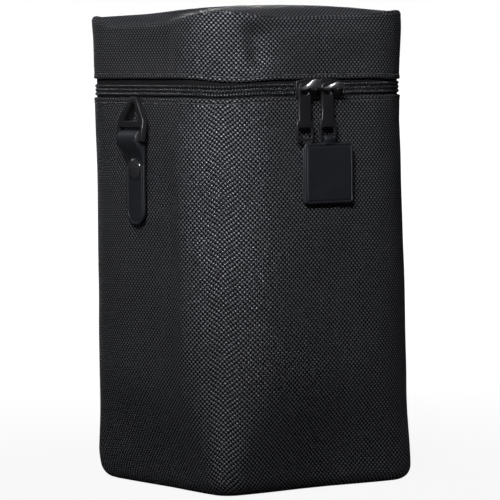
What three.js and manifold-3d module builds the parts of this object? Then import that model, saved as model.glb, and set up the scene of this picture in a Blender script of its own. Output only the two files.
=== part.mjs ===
// Lens pouch: a padded case of woven nylon, with a domed lid that a zip closes.
// Millimetres, Z up. The front, with the zip pulls, faces -Y, and the lid's hinge runs along the back.
// The origin is the middle of the base, on the surface that the pouch stands on.

import * as THREE from "three";
import { mergeVertices } from "three/addons/utils/BufferGeometryUtils.js";
import Module from "manifold-3d";

const wasm = await Module();
wasm.setup();

// Sections of the bag: width across the flats, corner radius, and half the angle of each bowed side
const base = { width: 116, corner: 12, bow: 2 };
const belly = { width: 134, corner: 42.5, bow: 10 };
const mouth = { width: 129, corner: 36, bow: 1.5 };
const crown = { width: 128, corner: 30, bow: 3 };

// Heights of the bag
const zipHeight = 193.7;
const zipOpening = 7.4;
const lidDepth = 36.3;
const seamSag = 3;
const domeRise = 4.6;
const baseEdgeRadius = 7;
const bellyStart = 60;
const mouthBlend = 60;

// Layers of the wall, from the outside in
const fabric = 0.9;
const tape = 0.6;
const foam = 5;
const lining = 0.6;
const board = 2;
const layerGap = 0.3;
const panelGap = 0.5;

// Zip
const coilHeight = 2.5;
const coilGap = 1.2;
const coilProud = 0.6;
const tapeWidth = 15;
const hingeWidth = 92;
const hingeFoldGap = 1.2;

// Sliders
const sliderLength = 12.8;
const sliderHeight = 10;
const sliderTailHeight = 7.4;
const sliderShoulder = 2.2;
const sliderNose = 4.4;
const sliderPlate = 1.2;
const sliderClearance = 0.4;
const rearClearance = 1;
const sliderSpacing = 13.6;
const sliderMeeting = -5;
const wedgeLength = 4;
const crownLength = 10.8;
const crownHeight = 4.4;
const crownBar = 1.5;
const crownPost = 1.4;
const crownPostHeight = 1.9;
const crownRoom = 1.8;
const crownBow = 1.2;

// Pulls
const pullThickness = 1.2;
const pullStand = 1.5;
const pullWidth = 10;
const pullStrand = 1.5;
const pullCorner = 1.2;
const pullBar = 1.3;
const pullLength = 27.8;
const eyeWidth = 7.4;
const eyeHoleHeight = 4.6;
const eyeCorner = 2.4;
const eyeRest = 0.4;
const eyeShift = 0.9;
const pullWindow = 5.2;
const windowCorner = 0.6;

// Tag
const tagWidth = 28.8;
const tagLayer = 1.2;
const tagCorner = 1.6;
const tagDrop = 1.1;
const tagShift = -0.1;
const neckWidth = 6;
const neckWall = 0.7;
const neckRoom = 0.5;

// Lugs on the two sides
const strapWidth = 16.6;
const strapThickness = 1.6;
const strapLength = 42.4;
const strapSeat = 0.4;
const ringDrop = 23.5;
const ringStand = 4;
const ringBarHeight = 2;
const ringBarDepth = 3;
const ringWidth = 21.6;
const ringLeg = 2;
const ringRise = 18.8;
const ringTopWidth = 4;
const ringEyeTop = 2;
const ringShoulderRise = 8.4;
const ringCrossbar = 3.2;
const ringCrossbarRise = 4.8;
const foldHeight = 8.8;
const foldDepth = 6.6;
const foldClearance = 0.3;
const rivetDrop = 14;
const rivetRadius = 5.25;
const rivetFace = 3.5;
const rivetCap = 1.5;
const rivetShank = 1.5;
const rivetClearance = 0.3;
const washerRadius = 4;

// How finely round shapes are cut
const quarterSteps = 10;
const cornerCrowding = 1.4;
const roundSteps = 20;
const edgeSteps = 3;
const overrun = 1;

// Shares of a stretch of the wall at which its section is set, between which the wall runs straight
const lowStretchShares = [0, 0.18, 0.38, 0.6, 0.8, 1];
const highStretchShares = [0, 0.4, 0.75, 1];
const domeShares = [1, 0.92, 0.76, 0.5, 0.25];
const domeFullnessShare = 3;

// Places that follow from these sizes
const bodyTop = zipHeight - zipOpening / 2;
const lidBottom = zipHeight + zipOpening / 2;
const lidSeamHeight = zipHeight + lidDepth;
const domeTop = lidSeamHeight + domeRise;
const tapeInset = fabric + layerGap;
const foamInset = tapeInset + tape + layerGap;
const liningInset = foamInset + foam + layerGap;
const innerInset = liningInset + lining;
const foamTop = zipHeight - sliderHeight / 2 - sliderPlate - layerGap;
const lidFoamBottom = zipHeight + sliderHeight / 2 + layerGap;
const boardBottom = fabric + 2 * layerGap;
const baseFoamBottom = boardBottom + board + layerGap;
const baseFoamTop = baseFoamBottom + foam;
const baseLiningBottom = baseFoamTop + layerGap;
const panelBottom = baseEdgeRadius + 2 * layerGap;
const ringPivotHeight = zipHeight - ringDrop;
const widestReach = Math.max(belly.width, mouth.width) / 2;
const ringStandoff = widestReach + ringStand;
const rivetHeight = ringPivotHeight - rivetDrop;

// Materials
function finish(color, roughness, metalness) {
  return new THREE.MeshStandardMaterial({ color, roughness, metalness });
}
const nylon = finish(0x1c1c1f, 0.7, 0);
const liningCloth = finish(0x2b2b2f, 0.85, 0);
const foamRubber = finish(0x47474a, 0.95, 0);
const stiffBoard = finish(0x202022, 0.6, 0);
const zipTape = finish(0x17171a, 0.8, 0);
const zipCoil = finish(0x121214, 0.35, 0);
const blackMetal = finish(0x2a2b2e, 0.35, 0.8);
const leather = finish(0x141416, 0.55, 0);
const mouldedPlastic = finish(0x101012, 0.4, 0);

const pouch = new THREE.Group();

function place(name, geometry, material, parent = pouch) {
  const mesh = new THREE.Mesh(geometry, material);
  mesh.name = name;
  parent.add(mesh);
  return mesh;
}

function smooth(share) {
  const k = Math.min(Math.max(share, 0), 1);
  return k * k * (3 - 2 * k);
}

function mixForms(a, b, share) {
  const mixed = {};
  for (const key of Object.keys(a)) mixed[key] = a[key] + (b[key] - a[key]) * share;
  return mixed;
}

// Section of the bag at a height: square at the base, round at the belly, flatter at the zip and lid
function formAt(z) {
  const low = mixForms(base, belly, smooth((z - baseEdgeRadius) / (bellyStart - baseEdgeRadius)));
  const high = mixForms(low, mouth, smooth((z - bodyTop + mouthBlend) / mouthBlend));
  return mixForms(high, crown, smooth((z - lidBottom) / (lidSeamHeight - lidBottom)));
}

// Distance from the axis to the wall: side arcs and corner arcs that meet smoothly
function reach(angle, form, inset) {
  const quarter = Math.PI / 2;
  const turned = ((angle % quarter) + quarter) % quarter;
  const t = Math.min(turned, quarter - turned);
  const bow = THREE.MathUtils.degToRad(form.bow);
  const half = form.width / 2;
  const centre = (half - form.corner) / (1 + Math.tan(bow / 2));
  const corner = form.corner - inset;
  const side = corner + centre / Math.sin(bow);
  const behind = half - inset - side;
  const joint = Math.atan2(side * Math.sin(bow), behind + side * Math.cos(bow));
  if (t < joint) return behind * Math.cos(t) + Math.sqrt(side ** 2 - (behind * Math.sin(t)) ** 2);
  const along = centre * (Math.cos(t) + Math.sin(t));
  return along + Math.sqrt(corner ** 2 - 2 * centre ** 2 + along ** 2);
}

// Angles round the bag, closer together at the corners
function roundAngles() {
  const angles = [];
  const quarter = Math.PI / 2;
  for (let side = 0; side < 4; side++) {
    for (let i = 0; i < quarterSteps; i++) {
      const s = (2 * i) / quarterSteps - 1;
      const bent = Math.sign(s) * Math.abs(s) ** cornerCrowding;
      angles.push(side * quarter + (quarter / 2) * (1 + bent));
    }
  }
  return angles;
}

const everyAngle = roundAngles();

// Distance from the axis to the faceted wall, whose flat facets run between the angles above
function facetReach(angle, form, inset) {
  const turn = 2 * Math.PI;
  const around = ((angle % turn) + turn) % turn;
  const next = everyAngle.findIndex((other) => other > around);
  const to = next < 0 ? everyAngle[0] + turn : everyAngle[next];
  const from = everyAngle[(next < 0 ? everyAngle.length : next) - 1];
  const before = Math.sin(to - around) / reach(from, form, inset);
  const after = Math.sin(around - from) / reach(to, form, inset);
  return Math.sin(to - from) / (before + after);
}

// Heights at which the section is set
function stationsOf(low, high, shares) {
  return shares.map((share) => low + share * (high - low));
}
const stations = [
  baseEdgeRadius,
  ...stationsOf(baseLiningBottom, bellyStart, lowStretchShares),
  ...stationsOf(bodyTop - mouthBlend, bodyTop, highStretchShares),
  lidBottom,
  lidSeamHeight,
];

function wallReach(angle, z, inset) {
  const above = stations.findIndex((height) => height > z);
  if (above === 0) return facetReach(angle, formAt(stations[0]), inset);
  if (above < 0) return facetReach(angle, formAt(lidSeamHeight), inset);
  const [low, high] = [stations[above - 1], stations[above]];
  const start = facetReach(angle, formAt(low), inset);
  return start + ((z - low) / (high - low)) * (facetReach(angle, formAt(high), inset) - start);
}

function wallPoint(angle, z, inset) {
  const r = wallReach(angle, z, inset);
  return [r * Math.cos(angle), r * Math.sin(angle), z];
}

function anglesBetween(start, end) {
  const turn = 2 * Math.PI;
  const fine = (end - start) / quarterSteps ** 2;
  const inside = [];
  for (const lap of [-turn, 0, turn]) {
    for (const angle of everyAngle) {
      if (angle + lap > start + fine && angle + lap < end - fine) inside.push(angle + lap);
    }
  }
  return [start, ...inside.sort((a, b) => a - b), end];
}

function geometryOf(points, faces) {
  const geometry = new THREE.BufferGeometry();
  geometry.setAttribute("position", new THREE.Float32BufferAttribute(points.flat(), 3));
  geometry.setIndex(faces.flat());
  return geometry;
}

// A wall between two surfaces, each given as rings of points from the lowest up, closed all round or ended
function wall(outer, inner, closed) {
  const rings = outer.length;
  const count = outer[0].length;
  const points = [...outer.flat(), ...inner.flat()];
  const at = (k, i) => k * count + (i % count);
  const faces = [];
  const quad = (a, b, c, d) => faces.push([a, b, c], [a, c, d]);
  const last = closed ? count : count - 1;
  for (let i = 0; i < last; i++) {
    for (let k = 0; k < rings - 1; k++) {
      quad(at(k, i), at(k, i + 1), at(k + 1, i + 1), at(k + 1, i));
      quad(at(rings + k, i), at(rings + k + 1, i), at(rings + k + 1, i + 1), at(rings + k, i + 1));
    }
    const top = rings - 1;
    quad(at(top, i), at(top, i + 1), at(rings + top, i + 1), at(rings + top, i));
    quad(at(0, i + 1), at(0, i), at(rings, i), at(rings, i + 1));
  }
  if (!closed) {
    for (let k = 0; k < rings - 1; k++) {
      quad(at(k, 0), at(k + 1, 0), at(rings + k + 1, 0), at(rings + k, 0));
      quad(at(k + 1, last), at(k, last), at(rings + k, last), at(rings + k + 1, last));
    }
  }
  return geometryOf(points, faces);
}

// A sheet between two surfaces that close over the axis, each given as rings from the rim in and a middle
function sheet(upper, lower, upperMiddle, lowerMiddle) {
  const rings = upper.length;
  const count = upper[0].length;
  const points = [...upper.flat(), ...lower.flat(), upperMiddle, lowerMiddle];
  const at = (k, i) => k * count + (i % count);
  const middle = 2 * rings * count;
  const faces = [];
  const quad = (a, b, c, d) => faces.push([a, b, c], [a, c, d]);
  for (let i = 0; i < count; i++) {
    for (let k = 0; k < rings - 1; k++) {
      quad(at(k, i), at(k, i + 1), at(k + 1, i + 1), at(k + 1, i));
      quad(at(rings + k, i), at(rings + k + 1, i), at(rings + k + 1, i + 1), at(rings + k, i + 1));
    }
    quad(at(rings, i), at(rings, i + 1), at(0, i + 1), at(0, i));
    faces.push([at(rings - 1, i), at(rings - 1, i + 1), middle]);
    faces.push([at(2 * rings - 1, i + 1), at(2 * rings - 1, i), middle + 1]);
  }
  return geometryOf(points, faces);
}

function ring(angles, z, inset) {
  return angles.map((angle) => {
    const height = typeof z === "function" ? z(angle) : z;
    return wallPoint(angle, height, inset);
  });
}

// A layer of the wall between two heights, which may vary round the bag, at an inset and of a thickness
function layer(angles, low, high, inset, thickness, closed) {
  const between = stations.filter((height) => height > low && height < high);
  const rings = (depth) => [low, ...between, high].map((height) => ring(angles, height, depth));
  return wall(rings(inset), rings(inset + thickness), closed);
}

function disc(z, inset, thickness) {
  const rim = (height) => {
    const pointAt = (angle) => {
      const r = facetReach(angle, base, inset);
      return [r * Math.cos(angle), r * Math.sin(angle), height];
    };
    return [everyAngle.map(pointAt)];
  };
  return sheet(rim(z + thickness), rim(z), [0, 0, z + thickness], [0, 0, z]);
}

// Solids that are joined or cut
function solidOf(geometry) {
  const bare = geometry.clone();
  bare.deleteAttribute("normal");
  bare.deleteAttribute("uv");
  const merged = mergeVertices(bare);
  const triVerts = new Uint32Array(merged.index.array);
  const vertProperties = merged.attributes.position.array;
  return new wasm.Manifold(new wasm.Mesh({ numProp: 3, vertProperties, triVerts }));
}

function geometryFrom(solid) {
  const made = solid.getMesh();
  const geometry = new THREE.BufferGeometry();
  geometry.setAttribute("position", new THREE.BufferAttribute(made.vertProperties, 3));
  geometry.setIndex(new THREE.BufferAttribute(made.triVerts, 1));
  return geometry;
}

function joined(geometries) {
  const solids = geometries.map(solidOf);
  return geometryFrom(solids.reduce((all, next) => all.add(next)));
}

function cut(geometry, cutters) {
  const solids = cutters.map(solidOf);
  return geometryFrom(solids.reduce((left, cutter) => left.subtract(cutter), solidOf(geometry)));
}

// A flat outline in the plane of the front, x across and z up, given depth backwards from its front face
function frontPlate(shape, frontY, depth) {
  const settings = { depth, bevelEnabled: false, curveSegments: edgeSteps };
  const geometry = new THREE.ExtrudeGeometry(shape, settings);
  geometry.rotateX(Math.PI / 2);
  return geometry.translate(0, frontY + depth, 0);
}

function block(x0, x1, y0, y1, z0, z1) {
  const geometry = new THREE.BoxGeometry(x1 - x0, y1 - y0, z1 - z0);
  return geometry.translate((x0 + x1) / 2, (y0 + y1) / 2, (z0 + z1) / 2);
}

function roundedOutline(path, x0, x1, z0, z1, radius) {
  path.moveTo(x0 + radius, z0);
  path.lineTo(x1 - radius, z0);
  path.quadraticCurveTo(x1, z0, x1, z0 + radius);
  path.lineTo(x1, z1 - radius);
  path.quadraticCurveTo(x1, z1, x1 - radius, z1);
  path.lineTo(x0 + radius, z1);
  path.quadraticCurveTo(x0, z1, x0, z1 - radius);
  path.lineTo(x0, z0 + radius);
  path.quadraticCurveTo(x0, z0, x0 + radius, z0);
  return path;
}

function rod(radius, x, z, frontY, backY) {
  const geometry = new THREE.CylinderGeometry(radius, radius, backY - frontY, roundSteps);
  return geometry.translate(x, (frontY + backY) / 2, z);
}

// Height of the seam between the lid's band and its top, which sags between the corners
function seamHeight(angle) {
  return lidSeamHeight - seamSag * (1 - Math.sin(2 * angle) ** 2);
}

// Body of the bag: the fabric turns under at the base
function bodyOuter() {
  const low = layerGap;
  const rings = (thickness) => {
    const made = [];
    for (let i = 0; i <= edgeSteps; i++) {
      const turn = (Math.PI / 2) * (i / edgeSteps);
      const radius = baseEdgeRadius - thickness;
      const inset = baseEdgeRadius - radius * Math.sin(turn);
      made.push(ring(everyAngle, low + baseEdgeRadius - radius * Math.cos(turn), inset));
    }
    const above = stations.filter((height) => height > low + baseEdgeRadius && height <= bodyTop);
    return [...made, ...above.map((height) => ring(everyAngle, height, thickness))];
  };
  const shell = wall(rings(0), rings(fabric), true);
  const holes = [-1, 1].map((side) => {
    const hole = rod(rivetShank + rivetClearance, 0, rivetHeight, -ringStandoff, 0);
    return hole.rotateZ((side * Math.PI) / 2);
  });
  return cut(shell, holes);
}

const sides = { front: -Math.PI / 2, right: 0, back: Math.PI / 2, left: Math.PI };

function panelAngles(middle) {
  const trim = panelGap / belly.width;
  return anglesBetween(middle - Math.PI / 4 + trim, middle + Math.PI / 4 - trim);
}

place("body_outer", bodyOuter(), nylon);
for (const [side, middle] of Object.entries(sides)) {
  const angles = panelAngles(middle);
  const panel = layer(angles, panelBottom, foamTop, foamInset, foam, false);
  place(`body_foam_${side}`, panel, foamRubber);
}
const bodyLining = layer(everyAngle, baseLiningBottom, foamTop, liningInset, lining, true);
place("body_lining", bodyLining, liningCloth);

// Base: outer panel, stiff board, foam and lining
place("base_outer", disc(0, baseEdgeRadius + layerGap, fabric), nylon);
place("base_board", disc(boardBottom, baseEdgeRadius, board), stiffBoard);
place("base_foam", disc(baseFoamBottom, liningInset, foam), foamRubber);
place("base_lining", disc(baseLiningBottom, innerInset + layerGap, lining), liningCloth);

// Lid: a band and a domed top, each of fabric, foam and lining
const lidWallTop = (angle) => seamHeight(angle) - 2 * layerGap - foam - lining;
place("lid_band_outer", layer(everyAngle, lidBottom, seamHeight, 0, fabric, true), nylon);
for (const [side, middle] of Object.entries(sides)) {
  const angles = panelAngles(middle);
  const panel = layer(angles, lidFoamBottom, lidWallTop, foamInset, foam, false);
  place(`lid_foam_${side}`, panel, foamRubber);
}
const lidLining = layer(everyAngle, lidFoamBottom, lidWallTop, liningInset, lining, true);
place("lid_band_lining", lidLining, liningCloth);

// The lid's top layers share one domed form: the drop is how far a layer's face lies below the fabric's
function domed(inset, drop, thickness) {
  const rise = (share) => 1 - share ** domeFullnessShare;
  const rings = (depth) =>
    domeShares.map((share) =>
      everyAngle.map((angle) => {
        const rim = seamHeight(angle) + layerGap + fabric;
        const z = rim + (domeTop - rim) * rise(share) - depth;
        const [x, y] = wallPoint(angle, lidSeamHeight, inset);
        return [x * share, y * share, z];
      }),
    );
  const middle = (depth) => [0, 0, domeTop - depth];
  return sheet(rings(drop), rings(drop + thickness), middle(drop), middle(drop + thickness));
}
const topFoamDrop = fabric + layerGap;
const topLiningDrop = topFoamDrop + foam + layerGap;
place("lid_top_outer", domed(0, 0, fabric), nylon);
place("lid_top_foam", domed(tapeInset, topFoamDrop, foam), foamRubber);
place("lid_top_lining", domed(innerInset + layerGap, topLiningDrop, lining), liningCloth);

// Zip: two tapes with a coil each, from one end of the hinge round the front to the other
const hingeHalf = Math.atan2(hingeWidth / 2, mouth.width / 2);
const hingeEdge = panelGap / mouth.width;
const zipAngles = anglesBetween(Math.PI / 2 + hingeHalf, (5 * Math.PI) / 2 - hingeHalf);
const hingeAngles = anglesBetween(Math.PI / 2 - hingeHalf + hingeEdge, Math.PI / 2 + hingeHalf - hingeEdge);

function strip(angles, low, high, inset, thickness) {
  return layer(angles, low, high, inset, thickness, false);
}
const coilInset = -coilProud;
const coilDepth = coilProud + tapeInset - layerGap;
const chainGap = coilGap / 2;
const lowerChain = zipHeight - chainGap;
const upperChain = zipHeight + chainGap;
const coil = (low) => strip(zipAngles, low, low + coilHeight, coilInset, coilDepth);
const zipStrip = (low) => strip(zipAngles, low, low + tapeWidth, tapeInset, tape);
place("zip_tape_lower", zipStrip(lowerChain - tapeWidth), zipTape);
place("zip_coil_lower", coil(lowerChain - coilHeight), zipCoil);
place("zip_tape_upper", zipStrip(upperChain), zipTape);
place("zip_coil_upper", coil(upperChain), zipCoil);

// Hinge: the back's fabric strip, either side of its fold
const foldGap = hingeFoldGap / 2;
const hingeStrip = (low) => strip(hingeAngles, low, low + tapeWidth, tapeInset, tape);
place("hinge_strip_lower", hingeStrip(zipHeight - foldGap - tapeWidth), nylon);
place("hinge_strip_upper", hingeStrip(zipHeight + foldGap), nylon);

// Slider: a plate on each side of the tape, a wedge between the coils, and an arched crown for the pull
const coilFront = -(mouth.width / 2 + coilProud);
const plateBack = coilFront - sliderClearance;
const plateFront = plateBack - sliderPlate;
const rearPlateFront = -(mouth.width / 2 - tapeInset - tape) + rearClearance;
const pullBack = Math.min(plateFront, -widestReach) - pullStand;
const pullFront = pullBack - pullThickness;
const crownInside = pullFront - crownRoom;
const crownFront = crownInside - crownBar;

function sliderOutline(x, head) {
  const tail = x - (head * sliderLength) / 2;
  const nose = x + (head * sliderLength) / 2;
  const shape = new THREE.Shape();
  shape.moveTo(tail, zipHeight - sliderTailHeight / 2);
  shape.lineTo(nose - head * sliderNose, zipHeight - sliderHeight / 2);
  shape.lineTo(nose - head * sliderShoulder, zipHeight - sliderHeight / 2);
  shape.lineTo(nose, zipHeight - sliderHeight / 2 + sliderShoulder);
  shape.lineTo(nose, zipHeight + sliderHeight / 2 - sliderShoulder);
  shape.lineTo(nose - head * sliderShoulder, zipHeight + sliderHeight / 2);
  shape.lineTo(nose - head * sliderNose, zipHeight + sliderHeight / 2);
  shape.lineTo(tail, zipHeight + sliderTailHeight / 2);
  return shape;
}

function slider(x, head) {
  const wedgeAt = x + head * (sliderLength / 2 - wedgeLength / 2);
  const wedgeHalf = coilGap / 2 - layerGap;
  const arch = new THREE.Shape();
  arch.moveTo(x - crownLength / 2, -crownInside);
  arch.lineTo(x + crownLength / 2, -crownInside);
  arch.quadraticCurveTo(x + crownLength / 2, -crownFront, x, -crownFront + crownBow);
  arch.quadraticCurveTo(x - crownLength / 2, -crownFront, x - crownLength / 2, -crownInside);
  const settings = { depth: crownHeight, bevelEnabled: false, curveSegments: edgeSteps };
  const cap = new THREE.ExtrudeGeometry(arch, settings);
  cap.rotateX(Math.PI).translate(0, 0, zipHeight + crownHeight / 2);
  const posts = [-1, 1].map((end) => {
    const at = x + end * (crownLength / 2 - crownPost / 2 - layerGap / 2);
    const half = crownPostHeight / 2;
    const [x0, x1] = [at - crownPost / 2, at + crownPost / 2];
    const [front, back] = [crownInside - crownBar / 2, plateFront + sliderPlate / 2];
    return block(x0, x1, front, back, zipHeight - half, zipHeight + half);
  });
  const [w0, w1] = [wedgeAt - wedgeLength / 2, wedgeAt + wedgeLength / 2];
  const [y0, y1] = [plateBack - sliderPlate / 2, rearPlateFront + sliderPlate / 2];
  return joined([
    frontPlate(sliderOutline(x, head), plateFront, sliderPlate),
    frontPlate(sliderOutline(x, head), rearPlateFront, sliderPlate),
    block(w0, w1, y0, y1, zipHeight - wedgeHalf, zipHeight + wedgeHalf),
    cap,
    ...posts,
  ]);
}

// Pull: a plate with an eye round the crown's left post and a window over its lower bar
const eyeTop = zipHeight + crownPostHeight / 2 + eyeRest + pullStrand;
const pullBottom = eyeTop - pullLength;
const plateTop = eyeTop - pullStrand - eyeHoleHeight;

function postOf(x) {
  return x - crownLength / 2 + crownPost / 2 + layerGap / 2;
}

function pull(x) {
  const middle = postOf(x) + eyeShift;
  const half = pullWidth / 2;
  const eye = new THREE.Shape();
  const [e0, e1] = [middle - eyeWidth / 2, middle + eyeWidth / 2];
  roundedOutline(eye, e0, e1, plateTop - pullStrand, eyeTop, eyeCorner);
  const plate = new THREE.Shape();
  roundedOutline(plate, middle - half, middle + half, pullBottom, plateTop, pullCorner);
  const holeHalf = eyeWidth / 2 - pullStrand;
  const hole = new THREE.Shape();
  roundedOutline(hole, middle - holeHalf, middle + holeHalf, plateTop, eyeTop - pullStrand, pullCorner);
  const window = new THREE.Shape();
  const windowLow = pullBottom + pullBar;
  const windowHalf = half - pullStrand;
  const [w0, w1] = [middle - windowHalf, middle + windowHalf];
  roundedOutline(window, w0, w1, windowLow, windowLow + pullWindow, windowCorner);
  const through = (shape) => frontPlate(shape, pullFront - overrun, pullThickness + 2 * overrun);
  const blank = joined([eye, plate].map((shape) => frontPlate(shape, pullFront, pullThickness)));
  return cut(blank, [through(hole), through(window)]);
}

const leftSlider = sliderMeeting - sliderSpacing / 2;
const rightSlider = sliderMeeting + sliderSpacing / 2;
place("slider_left", slider(leftSlider, 1), blackMetal);
place("slider_right", slider(rightSlider, -1), blackMetal);
place("pull_left", pull(leftSlider), blackMetal);
place("pull_right", pull(rightSlider), blackMetal);

// Tag: two layers of leather, the front one with a neck that loops round the right pull's lower bar
const barY = (pullFront + pullBack) / 2;
const barZ = pullBottom + pullBar / 2;
const tagMiddle = postOf(rightSlider) + eyeShift + tagShift;
const tagTop = pullBottom - tagDrop;
const tagBottom = tagTop - tagWidth;
const neckInner = Math.hypot(pullBar, pullThickness) / 2 + neckRoom / 2;
const neckOuter = neckInner + neckWall;
const tagFrontY = barY - layerGap / 2 - tagLayer;
const tagBackY = barY + layerGap / 2;

function tagPlate(frontY) {
  const [x0, x1] = [tagMiddle - tagWidth / 2, tagMiddle + tagWidth / 2];
  const shape = roundedOutline(new THREE.Shape(), x0, x1, tagBottom, tagTop, tagCorner);
  return frontPlate(shape, frontY, tagLayer);
}

function tagFront() {
  const across = (radius, width) => {
    const tube = new THREE.CylinderGeometry(radius, radius, width, roundSteps);
    return tube.rotateZ(Math.PI / 2).translate(tagMiddle, barY, barZ);
  };
  const [n0, n1] = [tagMiddle - neckWidth / 2, tagMiddle + neckWidth / 2];
  const root = block(n0, n1, tagFrontY, tagFrontY + tagLayer, tagTop - tagLayer, barZ - neckInner);
  const blank = joined([tagPlate(tagFrontY), across(neckOuter, neckWidth), root]);
  return cut(blank, [across(neckInner, neckWidth + overrun)]);
}

function tagBack() {
  const half = neckWidth / 2 + layerGap;
  const [y0, y1] = [tagBackY - overrun, tagBackY + tagLayer + overrun];
  const [x0, x1] = [tagMiddle - half, tagMiddle + half];
  const notch = block(x0, x1, y0, y1, barZ - neckOuter - layerGap, tagTop + overrun);
  return cut(tagPlate(tagBackY), [notch]);
}
place("tag_front", tagFront(), leather);
place("tag_back", tagBack(), leather);

// Lug: drawn as if on the front, then turned to its side. A strap folds round the lower bar of a ring.
const strapBack = -(widestReach + strapSeat);
const strapFront = strapBack - strapThickness;

function lugStrap() {
  const half = strapWidth / 2;
  const strapLow = ringPivotHeight - strapLength;
  const end = new THREE.Shape();
  end.moveTo(-half, ringPivotHeight);
  end.lineTo(-half, strapLow + half);
  end.absarc(0, strapLow + half, half, Math.PI, 2 * Math.PI, false);
  end.lineTo(half, ringPivotHeight);
  const plate = frontPlate(end, strapFront, strapThickness);
  const fold = new THREE.CylinderGeometry(1, 1, strapWidth, roundSteps);
  fold.rotateZ(Math.PI / 2).scale(1, foldDepth / 2, foldHeight / 2);
  fold.translate(0, -ringStandoff, ringPivotHeight);
  const room = [ringBarDepth / 2 + foldClearance, ringBarHeight / 2 + foldClearance];
  const turning = Math.hypot(...room);
  const bore = new THREE.CylinderGeometry(turning, turning, strapWidth + overrun, roundSteps);
  bore.rotateZ(Math.PI / 2).translate(0, -ringStandoff, ringPivotHeight);
  const hole = rod(rivetShank + rivetClearance, 0, rivetHeight, strapFront - overrun, strapBack + overrun);
  return cut(joined([plate, fold]), [bore, hole]);
}

function lugRing() {
  const half = ringWidth / 2;
  const low = ringPivotHeight - ringBarHeight / 2;
  const shoulder = ringPivotHeight + ringShoulderRise;
  const top = ringPivotHeight + ringRise;
  const crossbar = ringPivotHeight + ringCrossbarRise;
  const outline = new THREE.Shape();
  outline.moveTo(-half, low);
  outline.lineTo(half, low);
  outline.lineTo(half, shoulder);
  outline.lineTo(ringTopWidth / 2, top);
  outline.lineTo(-ringTopWidth / 2, top);
  outline.lineTo(-half, shoulder);
  const inner = half - ringLeg;
  const slot = new THREE.Path();
  slot.moveTo(-inner, low + ringBarHeight);
  slot.lineTo(-inner, crossbar);
  slot.lineTo(inner, crossbar);
  slot.lineTo(inner, low + ringBarHeight);
  const eyeLow = crossbar + ringCrossbar;
  const window = new THREE.Path();
  window.moveTo(-inner + ringLeg, eyeLow);
  window.lineTo(-ringEyeTop / 2, top - ringCrossbar);
  window.lineTo(ringEyeTop / 2, top - ringCrossbar);
  window.lineTo(inner - ringLeg, eyeLow);
  outline.holes.push(slot, window);
  return frontPlate(outline, -ringStandoff - ringBarDepth / 2, ringBarDepth);
}

function lugRivet() {
  const capFront = strapFront - layerGap - rivetCap;
  const cap = new THREE.CylinderGeometry(rivetRadius, rivetFace, rivetCap, roundSteps);
  cap.translate(0, capFront + rivetCap / 2, rivetHeight);
  const washerBack = -wallReach(0, rivetHeight, tapeInset + tape);
  return joined([cap, rod(rivetShank, 0, rivetHeight, capFront + rivetCap / 2, washerBack)]);
}

function lugWasher() {
  const [low, high] = [rivetHeight - washerRadius, rivetHeight + washerRadius];
  const plate = layer(panelAngles(sides.front), low - overrun, high + overrun, tapeInset, tape, false);
  const disk = solidOf(plate).intersect(solidOf(rod(washerRadius, 0, rivetHeight, -ringStandoff, 0)));
  return cut(geometryFrom(disk), [rod(rivetShank + rivetClearance, 0, rivetHeight, -ringStandoff, 0)]);
}

for (const [side, turn] of [["left", -1], ["right", 1]]) {
  const lug = new THREE.Group();
  lug.rotation.z = (turn * Math.PI) / 2;
  place(`lug_strap_${side}`, lugStrap(), leather, lug);
  place(`lug_ring_${side}`, lugRing(), mouldedPlastic, lug);
  place(`lug_rivet_${side}`, lugRivet(), blackMetal, lug);
  place(`lug_washer_${side}`, lugWasher(), blackMetal, lug);
  pouch.add(lug);
}

export default pouch;
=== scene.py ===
"""Lens pouch: the looks of the padded nylon case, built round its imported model.
Lengths are worked out in millimetres and put into the meshes in metres."""

import bmesh
import bpy
import mathutils
import numpy as np
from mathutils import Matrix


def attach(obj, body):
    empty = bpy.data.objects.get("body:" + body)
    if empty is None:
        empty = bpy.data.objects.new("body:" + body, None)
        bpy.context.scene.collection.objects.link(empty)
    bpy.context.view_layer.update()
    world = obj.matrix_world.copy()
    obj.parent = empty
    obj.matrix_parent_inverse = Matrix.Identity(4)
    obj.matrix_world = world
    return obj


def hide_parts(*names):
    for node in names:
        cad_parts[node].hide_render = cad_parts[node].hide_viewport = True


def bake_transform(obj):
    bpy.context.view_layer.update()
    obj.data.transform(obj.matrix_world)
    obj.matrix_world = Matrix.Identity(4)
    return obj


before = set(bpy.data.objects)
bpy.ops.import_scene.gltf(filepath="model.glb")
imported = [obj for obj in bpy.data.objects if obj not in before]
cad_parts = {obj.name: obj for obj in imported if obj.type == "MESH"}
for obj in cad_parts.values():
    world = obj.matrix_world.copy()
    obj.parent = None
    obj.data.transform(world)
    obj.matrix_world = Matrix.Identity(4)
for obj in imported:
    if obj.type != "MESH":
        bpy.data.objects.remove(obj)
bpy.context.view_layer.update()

# Camera: a long lens from the near left corner, at about the height of the lid, and at the distance
# where the far and near corners keep the photograph's proportions.
camera_azimuth, camera_elevation, camera_distance = np.radians(-35.5), np.radians(3.3), 1.733
camera_roll = mathutils.Quaternion((0, 0, 1), np.radians(-0.7))
camera_data = bpy.data.cameras.new("camera")
camera_data.lens, camera_data.sensor_width = 252, 36


def placed(name, data):
    """A new object of a mesh, a lamp or a camera, put into the scene."""
    thing = bpy.data.objects.new(name, data)
    bpy.context.scene.collection.objects.link(thing)
    return thing


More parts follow.
